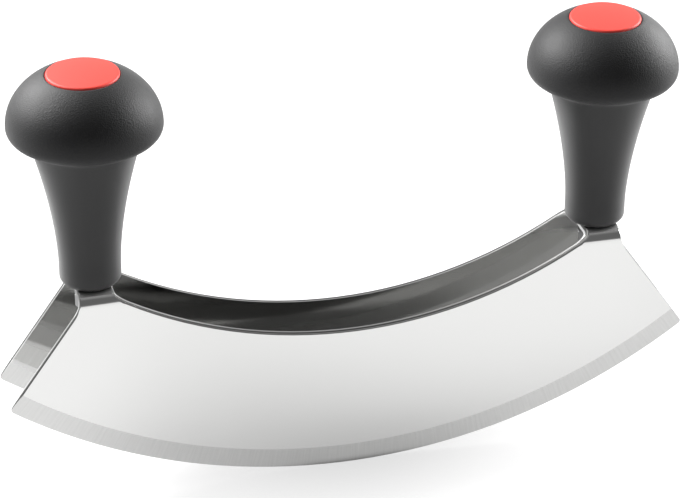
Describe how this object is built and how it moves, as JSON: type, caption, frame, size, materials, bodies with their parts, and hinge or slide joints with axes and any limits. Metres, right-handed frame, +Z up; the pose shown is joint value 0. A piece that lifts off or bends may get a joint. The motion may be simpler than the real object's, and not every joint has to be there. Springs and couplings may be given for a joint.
{
  "type": "mezzaluna",
  "caption": "Rocking herb chopper: one folded stainless sheet forms two parallel crescent blades, carried under knob handles on its end straps.",
  "frame": {"origin": "on the board, midway between the lowest points of the two cutting edges, under the middle of the tool", "axes": "+X along the blades towards the right handle, +Y from the front blade to the rear blade, +Z up towards the handles"},
  "size_m": [0.2488, 0.0536, 0.163],
  "materials": {
    "polished_stainless": "polished sheet with ground bevels",
    "black_polypropylene": "moulded, finely eroded matt",
    "red_cap_plastic": "moulded, satin",
    "stainless_fastener": "bright stainless fastener"
  },
  "bodies": {
    "root": {"blade_sheet": "polished_stainless", "left_handle": "black_polypropylene", "left_cap": "red_cap_plastic", "left_screw": "stainless_fastener", "left_head_washer": "stainless_fastener", "left_strap_washer": "stainless_fastener", "left_spring_washer": "stainless_fastener", "left_domed_nut": "stainless_fastener", "right_handle": "black_polypropylene", "right_cap": "red_cap_plastic", "right_screw": "stainless_fastener", "right_head_washer": "stainless_fastener", "right_strap_washer": "stainless_fastener", "right_spring_washer": "stainless_fastener", "right_domed_nut": "stainless_fastener"}
  },
  "joints": []
}
